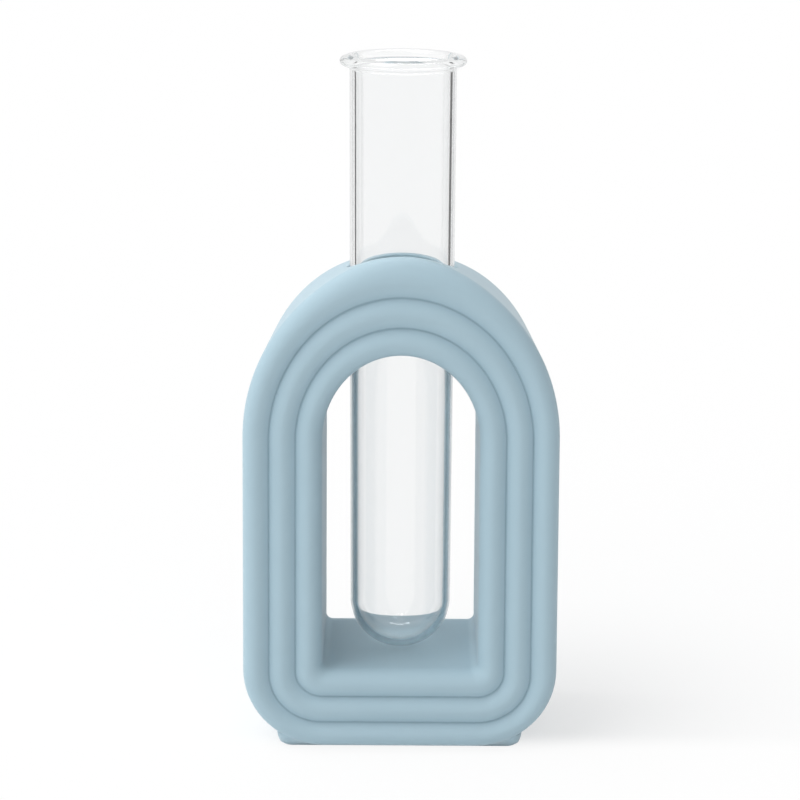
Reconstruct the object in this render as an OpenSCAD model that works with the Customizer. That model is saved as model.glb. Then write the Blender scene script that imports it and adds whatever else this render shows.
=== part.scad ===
// Bud vase: a ribbed ceramic arch that holds one flanged glass test tube.
// The arch stands on its flat foot. The tube drops through a hole in the crown
// of the arch, and its round end rests on the floor of the window.
// Origin: middle of the foot, on the table. X is across the faces, -Y is the front, Z is up.

/* [Holder] */
// Width of the arch where the legs meet the round top
holder_w = 76.6; // [72:0.2:84]
// Depth of the arch over the ribs of both faces
holder_d = 39; // [37:0.5:46]
// Height at which the legs end and the round top starts
spring_h = 81.5; // [70:0.5:95]
// Rise of the round top as a share of its half width
rise_share = 1.12; // [1:0.01:1.2]
// Extra half width that the legs gain down to the table, as a share
flare_share = 0.03; // [0:0.002:0.06]
// Radius of the outer corners at the foot
corner_r = 20.5; // [14:0.5:23]
// How far the crown rises over its front edge
crown_lift = 2.4; // [0:0.1:3]
// How far the crown falls away at its back edge
crown_drop = 1.4; // [0:0.1:2.4]

/* [Window] */
// Width of the window where the legs meet the round top
window_w = 38; // [34:0.2:40]
// Height of the window's floor above the table
floor_h = 22; // [18:0.5:28]
// Radius of the window's lower corners
window_corner_r = 2; // [0.8:0.1:4]

/* [Ribs] */
// Number of ribs on each face
rib_count = 3; // [2:1:5]
// How far a rib stands out from the grooves beside it
rib_rise = 1.6; // [0.6:0.1:2]
// Depth over which the inmost rib of the front rolls into the window
roll_in = 4; // [2.5:0.1:5]
// Depth over which the inmost rib of the back rolls into the window
roll_in_back = 5.5; // [2.5:0.1:6]
// Depth over which the outmost rib rolls into the outer band
roll_out = 3.7; // [2.5:0.1:5]

/* [Outer band] */
// How far the back outline lies inside the front outline
back_inset = 1.8; // [0:0.1:3]

/* [Foot] */
// Length of the foot on the table
foot_w = 61.2; // [48:0.2:62]
// Height at which the foot ends inside the lowest rib
foot_h = 4.6; // [3:0.1:5.4]
// How far each end of the foot swells out over its height
foot_lean = 0.5; // [0:0.1:3]
// How far the foot's front and back swell out over its height
foot_swell = 3; // [0:0.1:4]
// How far the foot's front and back on the table lie behind the edges of the band
foot_setback = 1.3; // [0.8:0.1:3]
// How far the foot lifts the lowest rib off the table
foot_lift = 0.5; // [0.3:0.1:1]
// Radius of the foot's corners seen from above
foot_corner_r = 3; // [1:0.5:8]

/* [Test tube] */
// Outer diameter of the glass tube
tube_d = 25.5; // [22:0.1:26]
// Length of the tube from its round end to its lip
tube_l = 150; // [130:1:170]
// Thickness of the glass wall
tube_wall = 1.6; // [1:0.1:2]
// Outer diameter of the rolled lip
lip_d = 30.2; // [28:0.1:33]
// Thickness of the rolled lip
lip_t = 2.2; // [1.2:0.1:2.8]
// Gap between the tube and its hole, all round
tube_gap = 0.4; // [0.3:0.05:0.8]

/* [Hidden] */

ceramic_blue = "#a9c4d0";
clear_glass = "#dcebf0";

// Half widths of the window and of the outer outline at the spring line
window_a = window_w / 2;
outer_a = holder_w / 2;

// Depths of the section: crest of the ribs, bottom of the grooves, ends of the rolls
crest_y = holder_d / 2;
groove_y = crest_y - rib_rise;
band_y = crest_y - roll_out;

// Steps along the curves of the section and of the outline
roll_steps = 4;
rib_steps = 3;
band_steps = 3;
arch_steps = 32;
corner_steps = 8;
foot_steps = 3;
quarter_turn = 90;
half_turn = 180;
bore_facets = 96;

// Powers that shape the crown, the corner radii between window and band, and the foot's edge
crown_power = 7;
corner_power = 1.25;
foot_power = 1.6;

// The hole for the tube runs from inside the window to above the crown
hole_d = tube_d + 2 * tube_gap;
hole_from = spring_h;
hole_to = spring_h + outer_a * rise_share + holder_d;

// The tube stands this far above the window's floor
rest_gap = 0.05;
tube_from = floor_h + rest_gap;
tube_r = tube_d / 2;
bore_r = tube_r - tube_wall;

// The lip: its round edge hangs a little below the mouth, and a neck blends it into the wall
lip_r = lip_d / 2;
lip_round = lip_t / 2;
lip_sag = 0.2;
lip_neck = 0.6;
lip_steps = 10;
lip_h = lip_sag + lip_t + lip_neck;
mouth_round = tube_wall / 2;
overrun = 1;

// A value between a and b
function mix(a, b, t) = a + (b - a) * t;

// One rib of a face from crest to groove or groove to crest, as [share, depth].
// The rib is a parabola whose top is at the crest and whose ends are in the grooves.
function rib_depth(s) = groove_y + rib_rise * (1 - pow(2 * s - 1, 2));

// A face of the section from the window's wall to the outer band, for a roll of this depth
// into the window. Each point is [share of the wall from the window outwards, distance
// from the middle plane].
rib_share = 1 / rib_count;
function face(roll) =
    concat(
        // Roll from the window's wall up to the crest of the inmost rib
        [for (i = [0 : roll_steps - 1])
            let (a = quarter_turn * i / roll_steps)
            [rib_share / 2 * (1 - cos(a)), crest_y - roll * (1 - sin(a))]],
        // From crest to crest, over every rib
        [for (i = [0 : 2 * rib_steps * (rib_count - 1)])
            let (s = 0.5 + i / (2 * rib_steps))
            [rib_share * s, rib_depth(s - floor(s))]],
        // Roll from the crest of the outmost rib down to the outer band
        [for (i = [1 : roll_steps])
            let (a = quarter_turn * i / roll_steps)
            [1 - rib_share / 2 * (1 - sin(a)), band_y + roll_out * cos(a)]]
    );

// The whole section as a closed ring: front face, outer band, back face
function section() =
    let (back = face(roll_in_back))
    concat(
        [for (p = face(roll_in)) [p[0], -p[1]]],
        [for (i = [1 : band_steps - 1]) [1, mix(-band_y, band_y, i / band_steps)]],
        [for (i = [len(back) - 1 : -1 : 0]) back[i]]
    );

// Share of the way from the front edge of the band to its back edge, at a depth
function way_back(y) = min(max((y + band_y) / (2 * band_y), 0), 1);

// Half width of the outer band at a depth: it draws in towards the back
function band_a(y) = outer_a - back_inset * way_back(y);

// Extra height of the crown at a share and a depth. It is full where the outline's rise,
// from none at the spring line to one at the top, is one.
function crown(k, y, rise) = pow(k * rise, crown_power) * mix(crown_lift, -crown_drop, way_back(y));

// Sizes of the outline at a share of the way k from the window outwards, at a depth y
function half_width(k, y) = mix(window_a, band_a(y), k);
function bottom_z(k) = mix(floor_h, foot_lift, k);
function corner_radius(k) = mix(window_corner_r, corner_r, pow(k, corner_power));
function flare(z) = 1 + flare_share * (spring_h - z) / spring_h;

// A point of the round top, and one of the right-hand corner at the foot
function arch_point(k, y, a) =
    let (r = half_width(k, y))
    [r * cos(a), spring_h + rise_share * r * sin(a) + crown(k, y, sin(a))];
function corner_point(k, y, a) =
    let (r = corner_radius(k), z = bottom_z(k) + r)
    [half_width(k, y) * flare(z) - r + r * cos(a), z - r * sin(a)];

// Stations along the outline. They run over the round top from right to left,
// then down the left leg, along the foot and up the right leg.
left_from = arch_steps + 1;
right_from = left_from + corner_steps + 1;
station_count = right_from + corner_steps + 1;
function station(k, y, i) =
    i < left_from
        ? arch_point(k, y, half_turn * i / arch_steps)
    : i < right_from
        ? let (p = corner_point(k, y, quarter_turn * (i - left_from) / corner_steps)) [-p[0], p[1]]
    : corner_point(k, y, quarter_turn * (1 - (i - right_from) / corner_steps));

// The ribbed arch as one skin: the section carried round the outline
module ribbed_arch() {
    ring = section();
    n = len(ring);
    skin = [for (i = [0 : station_count - 1], p = ring)
        let (q = station(p[0], p[1], i)) [q[0], p[1], q[1]]];
    faces = [for (i = [0 : station_count - 1], j = [0 : n - 1])
        let (
            i2 = (i + 1) % station_count,
            j2 = (j + 1) % n,
            a = i * n + j,
            b = i * n + j2,
            c = i2 * n + j2,
            d = i2 * n + j
        )
        each [[a, c, b], [a, d, c]]];
    polyhedron(points = skin, faces = faces);
}

// One of the plan's corners, an arc about its own centre
function plan_corner(x, y, r, from) =
    [for (i = [0 : corner_steps])
        let (a = from + quarter_turn * i / corner_steps)
        [x + r * cos(a), y + r * sin(a)]];

// The foot's outline a share t of the way up. It draws in towards the back as the band does,
// and it swells out over its height like the edge of a cushion.
function foot_ring(t) =
    let (
        grow = 1 - pow(1 - t, foot_power),
        front_a = foot_w / 2 + foot_lean * grow - foot_corner_r,
        side_y = band_y - foot_setback + foot_swell * grow - foot_corner_r,
        right = concat(
            plan_corner(front_a, -side_y, foot_corner_r, -quarter_turn),
            plan_corner(front_a - back_inset, side_y, foot_corner_r, 0)
        )
    )
    concat(
        [for (p = right) [p[0], p[1], foot_h * t]],
        [for (i = [len(right) - 1 : -1 : 0]) [-right[i][0], right[i][1], foot_h * t]]
    );

// The flat foot: rings from the table up into the lowest rib, closed below and above
module foot() {
    n = len(foot_ring(0));
    points = [for (i = [0 : foot_steps]) each foot_ring(i / foot_steps)];
    below = [for (j = [0 : n - 1]) j];
    above = [for (j = [n - 1 : -1 : 0]) foot_steps * n + j];
    sides = [for (i = [0 : foot_steps - 1], j = [0 : n - 1])
        let (
            j2 = (j + 1) % n,
            a = i * n + j,
            b = i * n + j2,
            c = b + n,
            d = a + n
        )
        each [[a, c, b], [a, d, c]]];
    polyhedron(points = points, faces = concat([below, above], sides));
}

// The ceramic arch with its foot, its window and the hole for the tube
module arch_holder() {
    color(ceramic_blue)
        difference() {
            union() {
                ribbed_arch();
                foot();
            }
            translate([0, 0, hole_from])
                cylinder(h = hole_to - hole_from, d = hole_d, $fn = bore_facets);
        }
}

// An arc of the lip's half section, from one angle to another about a centre
function lip_arc(x, z, r, from, to) =
    [for (i = [0 : lip_steps])
        let (a = from + (to - from) * i / lip_steps)
        [x + r * cos(a), z + r * sin(a)]];

// Half section of the lip below the mouth's plane: the crest slopes down to the round
// edge, and the neck curves from the edge's underside into the wall
module lip_profile() {
    polygon(concat(
        [[0, -lip_h], [0, 0], [bore_r + mouth_round, 0]],
        lip_arc(lip_r - lip_round, -lip_sag - lip_round, lip_round, quarter_turn, -quarter_turn),
        lip_arc(tube_r + lip_neck, -lip_h, lip_neck, quarter_turn, half_turn)
    ));
}

// Half section of the mouth's cut: it rounds the inner edge of the wall
module mouth_profile() {
    polygon(concat(
        [[0, overrun], [0, -mouth_round]],
        lip_arc(bore_r + mouth_round, -mouth_round, -mouth_round, 0, -quarter_turn),
        [[bore_r + mouth_round, overrun]]
    ));
}

// The glass tube: straight wall, round closed end, rolled lip
module test_tube() {
    color(clear_glass)
        translate([0, 0, tube_from])
            difference() {
                union() {
                    translate([0, 0, tube_r])
                        sphere(r = tube_r, $fn = bore_facets);
                    translate([0, 0, tube_r])
                        cylinder(h = tube_l - tube_r - lip_h + lip_neck, r = tube_r, $fn = bore_facets);
                    translate([0, 0, tube_l])
                        rotate_extrude($fn = bore_facets)
                            lip_profile();
                }
                translate([0, 0, tube_r])
                    sphere(r = bore_r, $fn = bore_facets);
                translate([0, 0, tube_r])
                    cylinder(h = tube_l, r = bore_r, $fn = bore_facets);
                translate([0, 0, tube_l])
                    rotate_extrude($fn = bore_facets)
                        mouth_profile();
            }
}

arch_holder();
test_tube();
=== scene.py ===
# %% [markdown]
# # A bud vase: one glass tube in a ribbed ceramic arch
# The vase has two pieces. A matte ceramic arch stands on a flat foot, and a flanged glass
# tube drops through a hole in its crown. This lesson models both with bmesh operators,
# finishes them with procedural materials and lights them as a studio would.
#
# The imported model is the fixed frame. Every new piece is made in its place, so nothing has
# to be moved or fitted afterwards.

# %% The frame and its boxes
import math

import bmesh
import bpy
from mathutils import Matrix, Vector


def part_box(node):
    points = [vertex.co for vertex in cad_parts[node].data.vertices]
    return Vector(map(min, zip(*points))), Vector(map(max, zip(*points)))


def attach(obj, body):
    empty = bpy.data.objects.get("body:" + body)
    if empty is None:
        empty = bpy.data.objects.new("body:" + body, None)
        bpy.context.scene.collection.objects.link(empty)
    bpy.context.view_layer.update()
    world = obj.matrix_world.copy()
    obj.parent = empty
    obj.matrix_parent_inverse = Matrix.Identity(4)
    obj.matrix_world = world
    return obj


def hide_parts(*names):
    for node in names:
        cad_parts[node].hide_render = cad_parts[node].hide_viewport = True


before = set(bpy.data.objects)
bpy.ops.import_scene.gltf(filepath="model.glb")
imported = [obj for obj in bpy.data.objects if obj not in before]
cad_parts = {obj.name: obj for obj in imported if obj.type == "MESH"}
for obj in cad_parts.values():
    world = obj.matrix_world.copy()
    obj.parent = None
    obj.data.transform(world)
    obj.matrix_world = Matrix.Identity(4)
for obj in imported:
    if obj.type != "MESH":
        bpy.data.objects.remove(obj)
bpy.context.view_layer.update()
holder_low, holder_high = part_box("arch_holder")
tube_low, tube_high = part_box("test_tube")
MM = 0.001

# %% [markdown]
# ## Measures of the arch
# The arch is one section carried round one outline. The section has three soft ribs on each
# face. A share of 0 is the wall of the window and a share of 1 is the outer band, and every
# other point of the section lies between them. The outline is a half ellipse on two legs
# that widen a little down to the foot.
#
# Depths and widths that the frame knows are read from it. The rest are real sizes.

# %% Sizes of the arch
crest_y = holder_high.y
spring_h = 81.5 * MM
outer_a = 38.29 * MM
window_a = 19 * MM
rise_share = 1.12
flare_share = 0.03
floor_h = 22 * MM
foot_lift = 1.1 * MM
outer_corner_r = 20.5 * MM
window_corner_r = 2 * MM
corner_power = 1.25
crown_lift = 2.4 * MM
crown_drop = 1.4 * MM
crown_power = 7

rib_count = 3
groove_y = crest_y - 1.6 * MM
roll_in = 4 * MM
roll_in_back = 5.5 * MM
band_y = crest_y - 3.7 * MM
groove_soft = 0.03
back_inset = 1.8 * MM
print("depth of the arch, mm:", round(2 * crest_y / MM, 2))


# %% [markdown]
# ## The section
# Each rib is a parabola. Two parabolas that simply met would leave a knife-sharp groove,
# and a cast ceramic never has one, so the distance from the groove is softened before it
# goes into the parabola. The ends of the section roll over in quarter ellipses: inwards to
# the window, outwards to the band.

# %% The section of the arch, as shares and depths
def mix(a, b, t):
    return a + (b - a) * t


def rib_depth(s):
    """Depth of a face at s ribs from the window's wall, at and between the crests."""
    from_groove = 1 - abs(2 * (s % 1) - 1)
    soft = math.hypot(from_groove, groove_soft) - groove_soft
    top = math.hypot(1, groove_soft) - groove_soft
    return mix(groove_y, crest_y, (2 * soft - soft * soft) / (2 * top - top * top))


def face_points(roll, roll_steps=12, rib_steps=24):
    """A face that rolls into the window over this depth, as [share, depth] pairs."""
    rib = 1 / rib_count
    quarter = [math.pi / 2 * i / roll_steps for i in range(roll_steps)]
    inner = [(rib / 2 * (1 - math.cos(a)), crest_y - roll * (1 - math.sin(a))) for a in quarter]
    middle = [0.5 + i / rib_steps for i in range((rib_count - 1) * rib_steps + 1)]
    ribs = [(rib * s, rib_depth(s)) for s in middle]
    outer = [(1 - rib / 2 * (1 - math.cos(a)), mix(band_y, crest_y, math.sin(a))) for a in quarter]
    return inner + ribs + outer[::-1]


def section_points(band_steps=24, wall_steps=12):
    """The closed section: front face, outer band, back face, wall of the window."""
    front = [(share, -depth) for share, depth in face_points(roll_in)]
    band = [(1, mix(-band_y, band_y, i / band_steps)) for i in range(1, band_steps)]
    back = [(share, depth) for share, depth in reversed(face_points(roll_in_back))]
    wall = [(0, mix(crest_y - roll_in_back, roll_in - crest_y, i / wall_steps))
            for i in range(1, wall_steps)]
    return front + band + back + wall


print("points in the section:", len(section_points()))


# %% [markdown]
# ## The outline
# The band draws in towards the back, so the half width depends on the depth as well as on
# the share. The crown is highest at its front edge and falls away behind it. Below the
# spring line the legs widen in a straight line, and each share has its own corner radius,
# from the small one in the window to the large one outside.

# %% Half widths, corners and heights of the outline
def way_back(y):
    """Share of the way from the band's front edge to its back edge."""
    return min(max((y + band_y) / (2 * band_y), 0), 1)


def band_a(y):
    return outer_a - back_inset * way_back(y)


def crown(share, y, rise):
    """Extra height where the outline has this rise: 0 at the spring line, 1 at the top."""
    return (share * rise) ** crown_power * mix(crown_lift, -crown_drop, way_back(y))


def half_width(share, y, z=spring_h):
    return mix(window_a, band_a(y), share) * (1 + flare_share * (spring_h - z) / spring_h)


def corner_radius(share):
    return mix(window_corner_r, outer_corner_r, share ** corner_power)


def bottom_z(share):
    return mix(floor_h, foot_lift, share)


def leg_point(share, y, t):
    """A point of the right leg, from the spring line at t = 0 to its corner at t = 1."""
    z = mix(spring_h, bottom_z(share) + corner_radius(share), t)
    return half_width(share, y, z), z


def corner_point(share, y, t):
    """A point of the right corner, from the leg at t = 0 to the sill at t = 1."""
    angle = math.pi / 2 * t
    radius = corner_radius(share)
    z = bottom_z(share) + radius * (1 - math.sin(angle))
    return half_width(share, y, z) - radius * (1 - math.cos(angle)), z


def sill_point(share, y, t):
    """A point of the sill, from the corner at t = 0 to the middle at t = 1."""
    x, z = corner_point(share, y, 1)
    return x * (1 - t), z


# %% [markdown]
# ## The arch as one skin
# On the real object the arch is cast in one piece, so it is modelled as one skin. Half of
# it is enough, because a mirror makes the other half. The section starts as a ring of
# vertices at the spring line. A quarter spin carries it over the top, and one scale along Z
# turns the round top into the taller ellipse. Then the same ring is extruded down the leg,
# round the corner and along the sill, and each extruded ring is put on the outline.

# %% Half of the arch: spin, then extrude
top_steps = 56
leg_steps = 30
corner_steps = 18
sill_steps = 18
merge_within = 1e-6
skin = bmesh.new()
share_of = skin.verts.layers.float.new("share")
# The hollow value says how far a point lies down between two crests. The material uses it to paint
# shade into the grooves.
hollow_of = skin.verts.layers.float.new("hollow")
ring = []
for share, y in section_points():
    vert = skin.verts.new((half_width(share, y), y, spring_h))
    vert[share_of] = share
    between_crests = 0.5 < share * rib_count < rib_count - 0.5
    vert[hollow_of] = (crest_y - abs(y)) / (crest_y - groove_y) if between_crests else 0
    ring.append(vert)
ring_edges = [skin.edges.new((a, b)) for a, b in zip(ring, ring[1:] + ring[:1])]
bmesh.ops.spin(skin, geom=ring + ring_edges, cent=(0, 0, spring_h), axis=(0, -1, 0),
               angle=math.pi / 2, steps=top_steps, use_merge=False)
bmesh.ops.scale(skin, vec=(1, 1, rise_share), space=Matrix.Translation((0, 0, -spring_h)),
                verts=skin.verts)
for vert in skin.verts:
    share, y = vert[share_of], vert.co.y
    rise = (vert.co.z - spring_h) / (rise_share * half_width(share, y))
    vert.co.z += crown(share, y, rise)


def extend(bm, edges, put):
    """Extrudes a chain of edges and puts each new vertex where put says."""
    grown = bmesh.ops.extrude_edge_only(bm, edges=edges)["geom"]
    verts = {g for g in grown if isinstance(g, bmesh.types.BMVert)}
    for vert in verts:
        vert.co = put(vert)
    return [g for g in grown if isinstance(g, bmesh.types.BMEdge) and set(g.verts) <= verts]


def along(stretch, t):
    """Puts a vertex on a stretch of the outline, at its own share and depth."""
    def put(vert):
        x, z = stretch(vert[share_of], vert.co.y, t)
        return x, vert.co.y, z
    return put


edges = ring_edges
for stretch, steps in ((leg_point, leg_steps), (corner_point, corner_steps),
                       (sill_point, sill_steps)):
    for i in range(1, steps + 1):
        edges = extend(skin, edges, along(stretch, i / steps))
bmesh.ops.mirror(skin, geom=skin.verts[:] + skin.edges[:] + skin.faces[:],
                 matrix=Matrix.Identity(4), merge_dist=merge_within, axis="X")
bmesh.ops.recalc_face_normals(skin, faces=skin.faces)
print("faces in the skin:", len(skin.faces), "open edges:",
      sum(edge.is_boundary for edge in skin.edges))


# %% [markdown]
# ## The foot
# The foot is a shallow plinth that fills the corners under the lowest rib. It starts as a
# four-cornered plan, narrower at the back as the band is, and a vertex bevel rounds its
# corners. The plan is extruded upwards in steps. The first step is a small chamfer, as a
# cast foot has where it is wiped off. Each later step grows a little less than the one
# below it, so the foot swells like the edge of a cushion and ends flush inside the rib. An
# extrusion leaves the face it started from. That is wanted below the first step and
# deleted above it, where it would lie inside the foot.

# %% The foot: a beveled plan, extruded in steps
foot_a = 30.6 * MM
foot_y = band_y - 0.6 * MM
foot_h = 4.6 * MM
foot_lean = 0.5 * MM
foot_swell = 3 * MM
foot_power = 1.6
foot_corner_r = 3 * MM
foot_edge = 0.6 * MM
foot_steps = 8
foot_corner_steps = 10


def foot_size(t):
    """Half width, half depth and height of the foot, from its chamfer to its top."""
    grow = 1 - (1 - t) ** foot_power
    return foot_a + foot_lean * grow, foot_y + foot_swell * grow, mix(foot_edge, foot_h, t)


foot = bmesh.new()
size = (foot_a - foot_edge, foot_y - foot_edge, 0)
plan = [(size[0], -size[1]), (size[0] - back_inset, size[1]),
        (back_inset - size[0], size[1]), (-size[0], -size[1])]
foot.faces.new([foot.verts.new((x, y, 0)) for x, y in plan])
bmesh.ops.bevel(foot, geom=foot.verts[:], offset=foot_corner_r, segments=foot_corner_steps,
                profile=0.5, affect="VERTICES", material=-1)
top_faces = foot.faces[:]
for i in range(foot_steps + 1):
    raised = bmesh.ops.extrude_face_region(foot, geom=top_faces)["geom"]
    if i > 0:
        bmesh.ops.delete(foot, geom=top_faces, context="FACES_ONLY")
    top_faces = [g for g in raised if isinstance(g, bmesh.types.BMFace)]
    verts = [g for g in raised if isinstance(g, bmesh.types.BMVert)]
    grown = foot_size(i / foot_steps)
    bmesh.ops.translate(foot, vec=(0, 0, grown[2] - size[2]), verts=verts)
    bmesh.ops.scale(foot, vec=(grown[0] / size[0], grown[1] / size[1], 1), verts=verts)
    size = grown
bmesh.ops.recalc_face_normals(foot, faces=foot.faces)
print("faces in the foot:", len(foot.faces), "edges not between two faces:",
      sum(not e.is_manifold for e in foot.edges))

# %% [markdown]
# ## Joining the foot and cutting the hole
# The foot is joined to the arch and the hole is cut with Boolean modifiers, which keep
# both shapes exact. The cutter is wider than the hole by the rounding of its rim, because
# the rim is built in the gap between them in the next step.

# %% One body: union with the foot, difference with the cutter
hole_r = 13.15 * MM
rim_round = 0.8 * MM
cutter_r = hole_r + rim_round
cutter_steps = 160


def linked(bm, name):
    """A new object that holds this bmesh."""
    mesh = bpy.data.meshes.new(name)
    bm.to_mesh(mesh)
    bm.free()
    piece = bpy.data.objects.new(name, mesh)
    bpy.context.scene.collection.objects.link(piece)
    return piece


def carved(piece, tool, operation):
    """Gives piece the mesh of its Boolean with tool, which is then removed."""
    modifier = piece.modifiers.new(operation, "BOOLEAN")
    modifier.operation = operation
    modifier.solver = "EXACT"
    modifier.object = tool
    depsgraph = bpy.context.evaluated_depsgraph_get()
    mesh = bpy.data.meshes.new_from_object(piece.evaluated_get(depsgraph))
    piece.modifiers.clear()
    piece.data = mesh
    bpy.data.objects.remove(tool)


cutter = bmesh.new()
bmesh.ops.create_cone(cutter, cap_ends=True, segments=cutter_steps, radius1=cutter_r,
                      radius2=cutter_r, depth=crest_y * 4)
bmesh.ops.translate(cutter, vec=(0, 0, spring_h + crest_y * 2), verts=cutter.verts)
holder = linked(skin, "ribbed_arch")
carved(holder, linked(foot, "foot_tool"), "UNION")
carved(holder, linked(cutter, "hole_tool"), "DIFFERENCE")
print("faces after the Booleans:", len(holder.data.polygons))


# %% [markdown]
# ## The rim of the hole
# A Boolean leaves a sharp rim. A bevel would fold over the small faces beside the cut, so
# the rounding is grown instead. The cutter's wall is deleted, and both open rims are
# extruded inwards in steps along a curve that leaves the surface flush and arrives at the
# hole's wall upright. The last step joins the two rings into the bore. They differ in their
# number of vertices, and a bridge between them twists and cuts across the hole. So the wall
# is closed triangle by triangle, in order of the angle about the axis.

# %% Rounding both rims and closing the bore
rim_steps = 6
found_within = 0.02 * MM
sharp_from = 40


def surface_z(x, y, share):
    """Height of the round top over a point, at one share of the outline."""
    half = half_width(share, y)
    rise = math.sqrt(1 - (x / half) ** 2)
    return spring_h + rise_share * half * rise + crown(share, y, rise)


def rim_point(vert, share, way, t):
    """A step t of the rounding, from the surface at the cutter to the hole's wall."""
    out = Vector((vert.co.x, vert.co.y)).normalized()
    start = surface_z(out.x * cutter_r, out.y * cutter_r, share)
    corner = surface_z(out.x * hole_r, out.y * hole_r, share)
    r = mix(mix(cutter_r, hole_r, t), hole_r, t)
    z = mix(mix(start, corner, t), mix(corner, corner + way * rim_round, t), t)
    return out.x * r, out.y * r, z


def angle_of(vert):
    """The direction of a vertex from the hole's axis."""
    return math.atan2(vert.co.y, vert.co.x)


def close_wall(bm, upper, lower):
    """Joins two rings by upright triangles, always to the nearer of the next two vertices."""
    rows = [sorted({v for e in ring for v in e.verts}, key=angle_of) for ring in (upper, lower)]
    turned = [[angle_of(v) for v in row[1:]] + [angle_of(row[0]) + 2 * math.pi] for row in rows]
    at = [0, 0]
    for _ in range(len(rows[0]) + len(rows[1])):
        ahead = [turned[k][at[k]] if at[k] < len(rows[k]) else math.inf for k in (0, 1)]
        k = 0 if ahead[0] < ahead[1] else 1
        here = [rows[n][at[n] % len(rows[n])] for n in (0, 1)]
        bm.faces.new((here[0], here[1], rows[k][(at[k] + 1) % len(rows[k])]))
        at[k] += 1


bore = bmesh.new()
bore.from_mesh(holder.data)
on_cutter = {v for v in bore.verts
             if abs(math.hypot(v.co.x, v.co.y) - cutter_r) < found_within and v.co.z > spring_h}
cut_wall = [f for f in bore.faces if all(v in on_cutter for v in f.verts)]
bmesh.ops.delete(bore, geom=cut_wall, context="FACES")
rim_edges = [e for e in bore.edges if e.is_boundary]
middle_z = spring_h + rise_share * (window_a + outer_a) / 2
rings = []
for share, way, above in ((1, -1, True), (0, 1, False)):
    edges = [e for e in rim_edges if (e.verts[0].co.z > middle_z) == above]
    for i in range(1, rim_steps + 1):
        edges = extend(bore, edges, lambda v: rim_point(v, share, way, i / rim_steps))
    rings.append(edges)
close_wall(bore, rings[0], rings[1])
bmesh.ops.recalc_face_normals(bore, faces=bore.faces)
print("rim edges:", [len(r) for r in rings], "open edges left:",
      sum(e.is_boundary for e in bore.edges), "edges of more than two faces:",
      sum(len(e.link_faces) > 2 for e in bore.edges))
bore.to_mesh(holder.data)
bore.free()
holder.data.shade_smooth()
holder.data.set_sharp_from_angle(angle=math.radians(sharp_from))
hollow = [item.value for item in holder.data.attributes["hollow"].data]
print("hollow runs from", round(min(hollow), 3), "to", round(max(hollow), 3))
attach(holder, "holder")
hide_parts("arch_holder")

# %% [markdown]
# ## The tube
# A flanged test tube is drawn glass: a straight wall, a round end blown shut, and a lip
# that was softened in a flame and rolled out, so the mouth opens like a small trumpet. All
# of it is round, so one half section spun about the axis makes the whole tube, with the
# inside and the outside in one closed skin. Glass needs both, because light bends at each
# of them.

# %% The half section of the tube
tube_r = 12.75 * MM
wall = 1.6 * MM
bore_r = tube_r - wall
lip_r = tube_high.x
lip_round = 1.05 * MM
lip_sag = 0.3 * MM
lip_neck = 1.0 * MM
mouth_round = 1.7 * MM
top_z = tube_high.z
bottom_of_tube = tube_low.z
neck_z = top_z - lip_sag - 2 * lip_round - lip_neck


def arc(x, z, r, start, end, steps):
    """Points of an arc in degrees, about x and z."""
    angles = [math.radians(mix(start, end, i / steps)) for i in range(steps + 1)]
    return [(x + r * math.cos(a), z + r * math.sin(a)) for a in angles]


end_z = bottom_of_tube + tube_r
wall_steps = 12
end_steps = 28
neck_steps = 10
lip_steps = 16
half_section = (
    arc(0, end_z, tube_r, -90, 0, end_steps)
    + [(tube_r, mix(end_z, neck_z, i / wall_steps)) for i in range(1, wall_steps)]
    + arc(tube_r + lip_neck, neck_z, lip_neck, 180, 90, neck_steps)
    + arc(lip_r - lip_round, top_z - lip_sag - lip_round, lip_round, -90, 90, lip_steps)
    + arc(bore_r + mouth_round, top_z - mouth_round, mouth_round, 90, 180, lip_steps)
    + [(bore_r, mix(top_z - mouth_round, end_z, i / wall_steps)) for i in range(1, wall_steps)]
    + arc(0, end_z, bore_r, 0, -90, end_steps)
)
print("points in the tube's half section:", len(half_section))

# %% Spinning the tube
turn_steps = 192
glass = bmesh.new()
line = [glass.verts.new((x, 0, z)) for x, z in half_section]
line_edges = [glass.edges.new(pair) for pair in zip(line, line[1:])]
bmesh.ops.spin(glass, geom=line + line_edges, cent=(0, 0, 0), axis=(0, 0, 1),
               angle=2 * math.pi, steps=turn_steps, use_merge=True)
bmesh.ops.remove_doubles(glass, verts=glass.verts, dist=merge_within)
bmesh.ops.recalc_face_normals(glass, faces=glass.faces)
print("faces in the tube:", len(glass.faces), "open edges:",
      sum(e.is_boundary for e in glass.edges))
tube = linked(glass, "glass_tube")
tube.data.shade_smooth()
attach(tube, "tube")
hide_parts("test_tube")

# %% [markdown]
# ## The ceramic
# The arch is unglazed, dyed ceramic with a matte, slightly powdery skin. Three things keep
# it from looking like plastic: a cloudy drift between two close blues, a fine grain that
# shows only as a broken highlight, and painted shade in the grooves: a darker blue that
# deepens the shade falling between the ribs.

# %% Material of the arch
cloud_scale = 45
grain_scale = 2600
swell_scale = 160
cloud_blue = (0.365, 0.503, 0.577, 1)
cloud_pale = (0.39, 0.528, 0.602, 1)
groove_shade_blue = (0.21, 0.31, 0.37, 1)
groove_shade_from = 0.78
groove_shade_share = 0.5
roughness_range = (0.52, 0.64)
swell_depth = 0.1 * MM
grain_depth = 0.012 * MM


def new_material(name):
    material = bpy.data.materials.new(name)
    material.use_nodes = True
    nodes = material.node_tree.nodes
    nodes.clear()
    return material, nodes, material.node_tree.links


def add(nodes, kind, **inputs):
    """A node with constant values on its sockets, named with spaces as underscores."""
    node = nodes.new(kind)
    for name, value in inputs.items():
        node.inputs[name.replace("_", " ")].default_value = value
    return node


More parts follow.
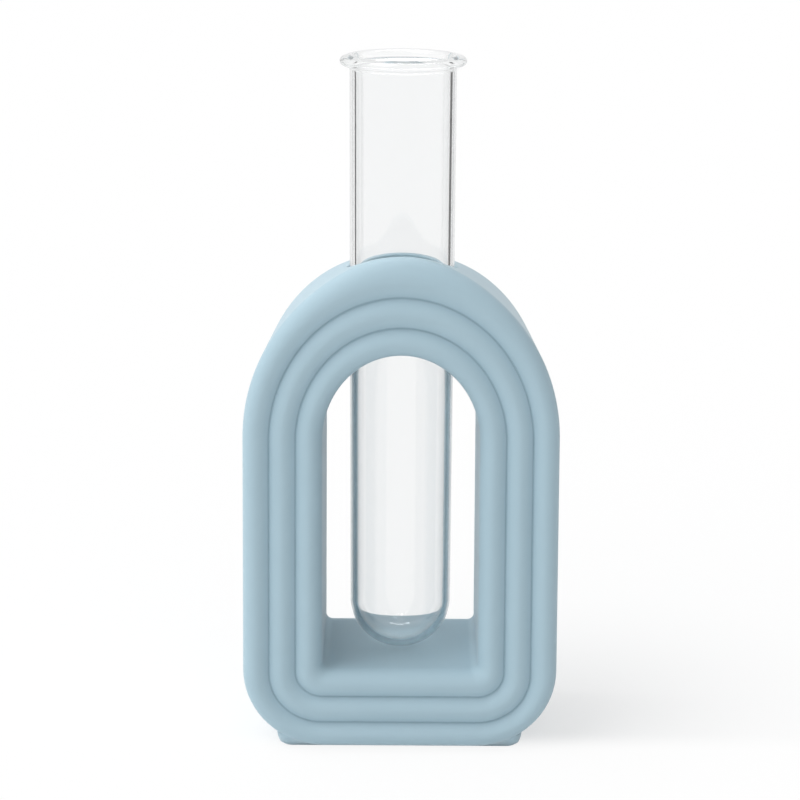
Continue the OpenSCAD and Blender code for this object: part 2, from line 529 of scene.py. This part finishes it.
def noise(nodes, links, place, scale, detail, roughness):
    node = add(nodes, "ShaderNodeTexNoise", Scale=scale, Detail=detail, Roughness=roughness)
    links.new(place.outputs["Object"], node.inputs["Vector"])
    return node


ceramic, nodes, links = new_material("blue_ceramic")
place = nodes.new("ShaderNodeTexCoord")
cloud = noise(nodes, links, place, cloud_scale, 3, 0.55)
grain = noise(nodes, links, place, grain_scale, 2, 0.6)
swell = noise(nodes, links, place, swell_scale, 2, 0.5)

tint = nodes.new("ShaderNodeMix")
tint.data_type = "RGBA"
tint.inputs["A"].default_value = cloud_blue
tint.inputs["B"].default_value = cloud_pale
links.new(cloud.outputs["Fac"], tint.inputs["Factor"])

# Painted shade: a darker blue is mixed into the grooves where the hollow value is high.
painted = nodes.new("ShaderNodeAttribute")
painted.attribute_name = "hollow"
line = add(nodes, "ShaderNodeMapRange", From_Min=groove_shade_from, From_Max=1.0, To_Min=0.0,
           To_Max=groove_shade_share)
line.interpolation_type = "SMOOTHERSTEP"
links.new(painted.outputs["Fac"], line.inputs["Value"])
groove_shaded = nodes.new("ShaderNodeMix")
groove_shaded.data_type = "RGBA"
groove_shaded.inputs["B"].default_value = groove_shade_blue
links.new(line.outputs["Result"], groove_shaded.inputs["Factor"])
links.new(tint.outputs["Result"], groove_shaded.inputs["A"])

rough = add(nodes, "ShaderNodeMapRange", From_Min=0.3, From_Max=0.7,
            To_Min=roughness_range[0], To_Max=roughness_range[1])
links.new(grain.outputs["Fac"], rough.inputs["Value"])

swell_bump = add(nodes, "ShaderNodeBump", Strength=0.5, Distance=swell_depth)
links.new(swell.outputs["Fac"], swell_bump.inputs["Height"])
grain_bump = add(nodes, "ShaderNodeBump", Strength=0.35, Distance=grain_depth)
links.new(grain.outputs["Fac"], grain_bump.inputs["Height"])
links.new(swell_bump.outputs["Normal"], grain_bump.inputs["Normal"])

body = add(nodes, "ShaderNodeBsdfPrincipled", IOR=1.5, Specular_IOR_Level=0.35,
           Sheen_Weight=0.2, Sheen_Roughness=0.35)
links.new(groove_shaded.outputs["Result"], body.inputs["Base Color"])
links.new(rough.outputs["Result"], body.inputs["Roughness"])
links.new(grain_bump.outputs["Normal"], body.inputs["Normal"])
out = nodes.new("ShaderNodeOutputMaterial")
links.new(body.outputs["BSDF"], out.inputs["Surface"])
holder.data.materials.clear()
holder.data.materials.append(ceramic)
print("ceramic nodes:", len(nodes))

# %% [markdown]
# ## The glass
# Clear glass shows almost nothing of itself. What gives it away is the bend of the light
# near its edges, and a grey where the view grazes a wall. It is a Principled shader with
# all of its weight on transmission, whose colour goes from nearly white, seen square on, to
# grey, seen edge on. That grey is painted shade, standing in for dark surroundings seen in
# the walls.
#
# Two kinds of ray are kept apart from the bending. A refracting tube would throw a dark
# shadow that only caustics could lighten, so shadow rays pass through a nearly clear
# Transparent shader. And light that has run round inside the rolled lip many times would
# leave it black, so a ray that has met more than five surfaces passes straight on too.

# %% Material of the tube
glass_ior = 1.47
square_tone = (0.955, 0.96, 0.962, 1)
edge_painted_shade = (0.38, 0.4, 0.41, 1)
edge_shade_from = 0.45
unbent_tone = (0.93, 0.94, 0.94, 1)
bends_kept = 5
clear, nodes, links = new_material("clear_glass")
glass_shader = add(nodes, "ShaderNodeBsdfPrincipled", IOR=glass_ior, Roughness=0.0,
                   Metallic=0.0, Transmission_Weight=1.0)
edge_on = add(nodes, "ShaderNodeLayerWeight", Blend=0.5)
edge = add(nodes, "ShaderNodeMapRange", From_Min=edge_shade_from, From_Max=1.0, To_Min=0.0,
           To_Max=1.0)
links.new(edge_on.outputs["Facing"], edge.inputs["Value"])
# Painted shade: the glass turns grey where the view grazes its walls.
edge_shade_mix = nodes.new("ShaderNodeMix")
edge_shade_mix.data_type = "RGBA"
edge_shade_mix.inputs["A"].default_value = square_tone
edge_shade_mix.inputs["B"].default_value = edge_painted_shade
links.new(edge.outputs["Result"], edge_shade_mix.inputs["Factor"])
links.new(edge_shade_mix.outputs["Result"], glass_shader.inputs["Base Color"])
rays = nodes.new("ShaderNodeLightPath")
through = add(nodes, "ShaderNodeBsdfTransparent", Color=unbent_tone)
shadowed = nodes.new("ShaderNodeMixShader")
deep_ray = nodes.new("ShaderNodeMath")
deep_ray.operation = "GREATER_THAN"
deep_ray.inputs[1].default_value = bends_kept
links.new(rays.outputs["Ray Depth"], deep_ray.inputs[0])
unbent = nodes.new("ShaderNodeMath")
unbent.operation = "MAXIMUM"
links.new(rays.outputs["Is Shadow Ray"], unbent.inputs[0])
links.new(deep_ray.outputs["Value"], unbent.inputs[1])
links.new(unbent.outputs["Value"], shadowed.inputs[0])
links.new(glass_shader.outputs["BSDF"], shadowed.inputs[1])
links.new(through.outputs["BSDF"], shadowed.inputs[2])
out = nodes.new("ShaderNodeOutputMaterial")
links.new(shadowed.outputs["Shader"], out.inputs["Surface"])
tube.data.materials.clear()
tube.data.materials.append(clear)

# %% [markdown]
# ## Floor and background
# The vase stands on a seamless white sweep that fades into the background. Two kinds of
# ray have to be kept apart for that. Rays that carry light meet a plain white paper and a
# room that is brighter on the left. Rays that end in the picture, seen directly, in a
# reflection or through the glass, meet a paper that glows by about half, so that it is
# white and its shadow stays light. In a strip before the foot the paper glows more, by its
# own Object coordinates. That is painted light, which fades the shadow out there.

# %% Which rays end in the picture
def picture_rays(nodes, links):
    """A value that is 1 for rays seen directly, in a reflection or through glass."""
    rays = nodes.new("ShaderNodeLightPath")
    total = None
    for name in ("Is Camera Ray", "Is Glossy Ray", "Is Transmission Ray"):
        if total is None:
            total = rays.outputs[name]
            continue
        most = nodes.new("ShaderNodeMath")
        most.operation = "MAXIMUM"
        links.new(total, most.inputs[0])
        links.new(rays.outputs[name], most.inputs[1])
        total = most.outputs["Value"]
    return total


# %% The floor
WHITE = (1, 1, 1, 1)
floor_half = 6
paper_lit = (0.88, 0.88, 0.88, 1)
paper_seen = (0.36, 0.36, 0.36, 1)
paper_glow = 0.585
painted_light_share = 0.8
painted_light_before = 2 * MM
painted_light_behind = 9 * MM
floor_bm = bmesh.new()
bmesh.ops.create_grid(floor_bm, x_segments=1, y_segments=1, size=floor_half)
floor = linked(floor_bm, "floor")
paper, nodes, links = new_material("white_paper")
lit = add(nodes, "ShaderNodeBsdfDiffuse", Color=paper_lit)
seen = add(nodes, "ShaderNodeBsdfDiffuse", Color=paper_seen)
glow = add(nodes, "ShaderNodeEmission", Color=WHITE, Strength=paper_glow)
both = nodes.new("ShaderNodeAddShader")
links.new(seen.outputs["BSDF"], both.inputs[0])
links.new(glow.outputs["Emission"], both.inputs[1])

# Painted light: the paper glows more in a strip before the foot, so the shadow fades there.
spot = nodes.new("ShaderNodeTexCoord")
apart = nodes.new("ShaderNodeSeparateXYZ")
links.new(spot.outputs["Object"], apart.inputs["Vector"])
before = add(nodes, "ShaderNodeMapRange", From_Min=-foot_y - painted_light_before,
             From_Max=-foot_y + painted_light_behind, To_Min=painted_light_share, To_Max=0.0)
before.interpolation_type = "SMOOTHSTEP"
links.new(apart.outputs["Y"], before.inputs["Value"])
painted_light_glow = add(nodes, "ShaderNodeEmission", Color=WHITE, Strength=1)
painted_light_mix = nodes.new("ShaderNodeMixShader")
links.new(before.outputs["Result"], painted_light_mix.inputs[0])
links.new(both.outputs["Shader"], painted_light_mix.inputs[1])
links.new(painted_light_glow.outputs["Emission"], painted_light_mix.inputs[2])

choice = nodes.new("ShaderNodeMixShader")
links.new(picture_rays(nodes, links), choice.inputs[0])
links.new(lit.outputs["BSDF"], choice.inputs[1])
links.new(painted_light_mix.outputs["Shader"], choice.inputs[2])
out = nodes.new("ShaderNodeOutputMaterial")
links.new(choice.outputs["Shader"], out.inputs["Surface"])
floor.data.materials.append(paper)

# %% [markdown]
# ## The room
# The room is one soft source. It is brighter on the left and overhead than on the right, as
# when a large diffuser stands beside the table, and that alone shapes the ribs.

# %% The world
room_left = 1.4
room_right = 0.22
world = bpy.data.worlds.new("studio")
bpy.context.scene.world = world
world.use_nodes = True
nodes, links = world.node_tree.nodes, world.node_tree.links
nodes.clear()
place = nodes.new("ShaderNodeTexCoord")
apart = nodes.new("ShaderNodeSeparateXYZ")
links.new(place.outputs["Generated"], apart.inputs["Vector"])
fall = add(nodes, "ShaderNodeMapRange", From_Min=-1, From_Max=1, To_Min=room_left,
           To_Max=room_right)
links.new(apart.outputs["X"], fall.inputs["Value"])
room = add(nodes, "ShaderNodeBackground", Color=WHITE)
links.new(fall.outputs["Result"], room.inputs["Strength"])
white = add(nodes, "ShaderNodeBackground", Color=WHITE, Strength=1)
choice = nodes.new("ShaderNodeMixShader")
links.new(picture_rays(nodes, links), choice.inputs[0])
links.new(room.outputs["Background"], choice.inputs[1])
links.new(white.outputs["Background"], choice.inputs[2])
out = nodes.new("ShaderNodeOutputWorld")
links.new(choice.outputs["Shader"], out.inputs["Surface"])

# %% [markdown]
# ## The key light
# One soft source hangs high above, a little to the left and in front. The sun lamp has no
# falloff, so the floor stays even, and its wide angle makes the short shadow soft.

# %% The key light
key_strength = 1.2
key_width = 35
to_light = Vector((-0.42, -0.16, 0.89))
key = bpy.data.lights.new("key", "SUN")
key.energy = key_strength
key.angle = math.radians(key_width)
key_lamp = bpy.data.objects.new("key", key)
bpy.context.scene.collection.objects.link(key_lamp)
key_lamp.rotation_euler = to_light.to_track_quat("Z", "Y").to_euler()

# %% [markdown]
# ## Flags for the glass
# Clear glass on white would vanish. A photographer stands a black flag on each side, just
# out of the picture. The glass bends the view near its edges by about 30 degrees, so a flag
# there draws the thin dark line that makes the tube readable. The flags cast no shadow and
# take no diffuse light from the ceramic. Only its faint gloss sees them, as the glass does.

# %% Two flags
flag_black = (0.02, 0.02, 0.02, 1)
flag_high = 160 * MM
flag_back = 350 * MM
flag_up = 80 * MM
flag_turns_and_widths = ((-42, 72 * MM), (44.5, 44 * MM))


def glowing(name, color, strength):
    """A material that only gives off light."""
    material, nodes, links = new_material(name)
    paint = add(nodes, "ShaderNodeEmission", Color=color, Strength=strength)
    out = nodes.new("ShaderNodeOutputMaterial")
    links.new(paint.outputs["Emission"], out.inputs["Surface"])
    return material


def panel(name, width, height, place, material):
    """A flat panel that the camera and diffuse light don't see, and that casts no shadow."""
    bm = bmesh.new()
    bmesh.ops.create_grid(bm, x_segments=1, y_segments=1, size=0.5)
    bmesh.ops.scale(bm, vec=(width, height, 1), verts=bm.verts)
    piece = linked(bm, name)
    piece.data.materials.append(material)
    piece.matrix_world = place
    piece.visible_camera = False
    piece.visible_diffuse = False
    piece.visible_shadow = False
    return piece


flag_material = glowing("black_flag", flag_black, 1)
upright = Matrix.Rotation(math.radians(90), 4, "X")
for turn, width in flag_turns_and_widths:
    around = Matrix.Rotation(math.radians(turn), 4, "Z")
    stand = around @ Matrix.Translation((0, flag_back, flag_up))
    flag = panel("flag", width, flag_high, stand @ upright, flag_material)

# %% [markdown]
# ## A strip light for the round end
# A long strip light hangs high behind the vase. The round end of the tube is a hollow
# mirror, and throws the strip back as a short bright line. It adds no diffuse light and no
# shadow. The glass sees it, and so does the faint gloss of the ceramic.

# %% The strip light
strip_strength = 12
strip_long = 420 * MM
strip_wide = 70 * MM
strip_up = 620 * MM
strip_tilt = -16
tilted = Matrix.Rotation(math.radians(strip_tilt), 4, "X")
hung = tilted @ Matrix.Translation((0, 0, strip_up))
strip_material = glowing("strip_light", WHITE, strip_strength)
strip = panel("strip", strip_long, strip_wide, hung, strip_material)

# %% [markdown]
# ## Bounces inside the lip
# Light runs round inside the rolled lip many times before it leaves. With Blender's own
# limit of four mirror bounces it is cut off there, and a grey band shows across the front
# of the lip. These limits belong to the scene, so they don't go with the part.

# %% More bounces for the glass
glass_bounces = 24
most_bounces = 32
bpy.context.scene.cycles.glossy_bounces = glass_bounces
bpy.context.scene.cycles.transmission_bounces = glass_bounces
bpy.context.scene.cycles.max_bounces = most_bounces

# %% [markdown]
# ## The camera
# The photograph looks at the front from a little above, from about half a metre away. The
# tube's mouth is then seen at 7 degrees above the horizon and the foot at 25.

# %% The camera
camera_back = 472.5 * MM
camera_up = 227.3 * MM
camera_pitch = 16.535
camera_roll = 0.33
camera_side = -0.33 * MM
sensor = 36
lens_to_frame = 1986.3 / 800
cam = bpy.data.cameras.new("camera")
cam.sensor_width = sensor
cam.lens = sensor * lens_to_frame
camera = bpy.data.objects.new("camera", cam)
bpy.context.scene.collection.objects.link(camera)
aim = Matrix.Rotation(math.radians(90 - camera_pitch), 4, "X")
roll = Matrix.Rotation(math.radians(camera_roll), 4, "Z")
camera.matrix_world = Matrix.Translation((camera_side, -camera_back, camera_up)) @ aim @ roll
bpy.context.scene.camera = camera
bpy.context.scene.view_settings.view_transform = "Standard"
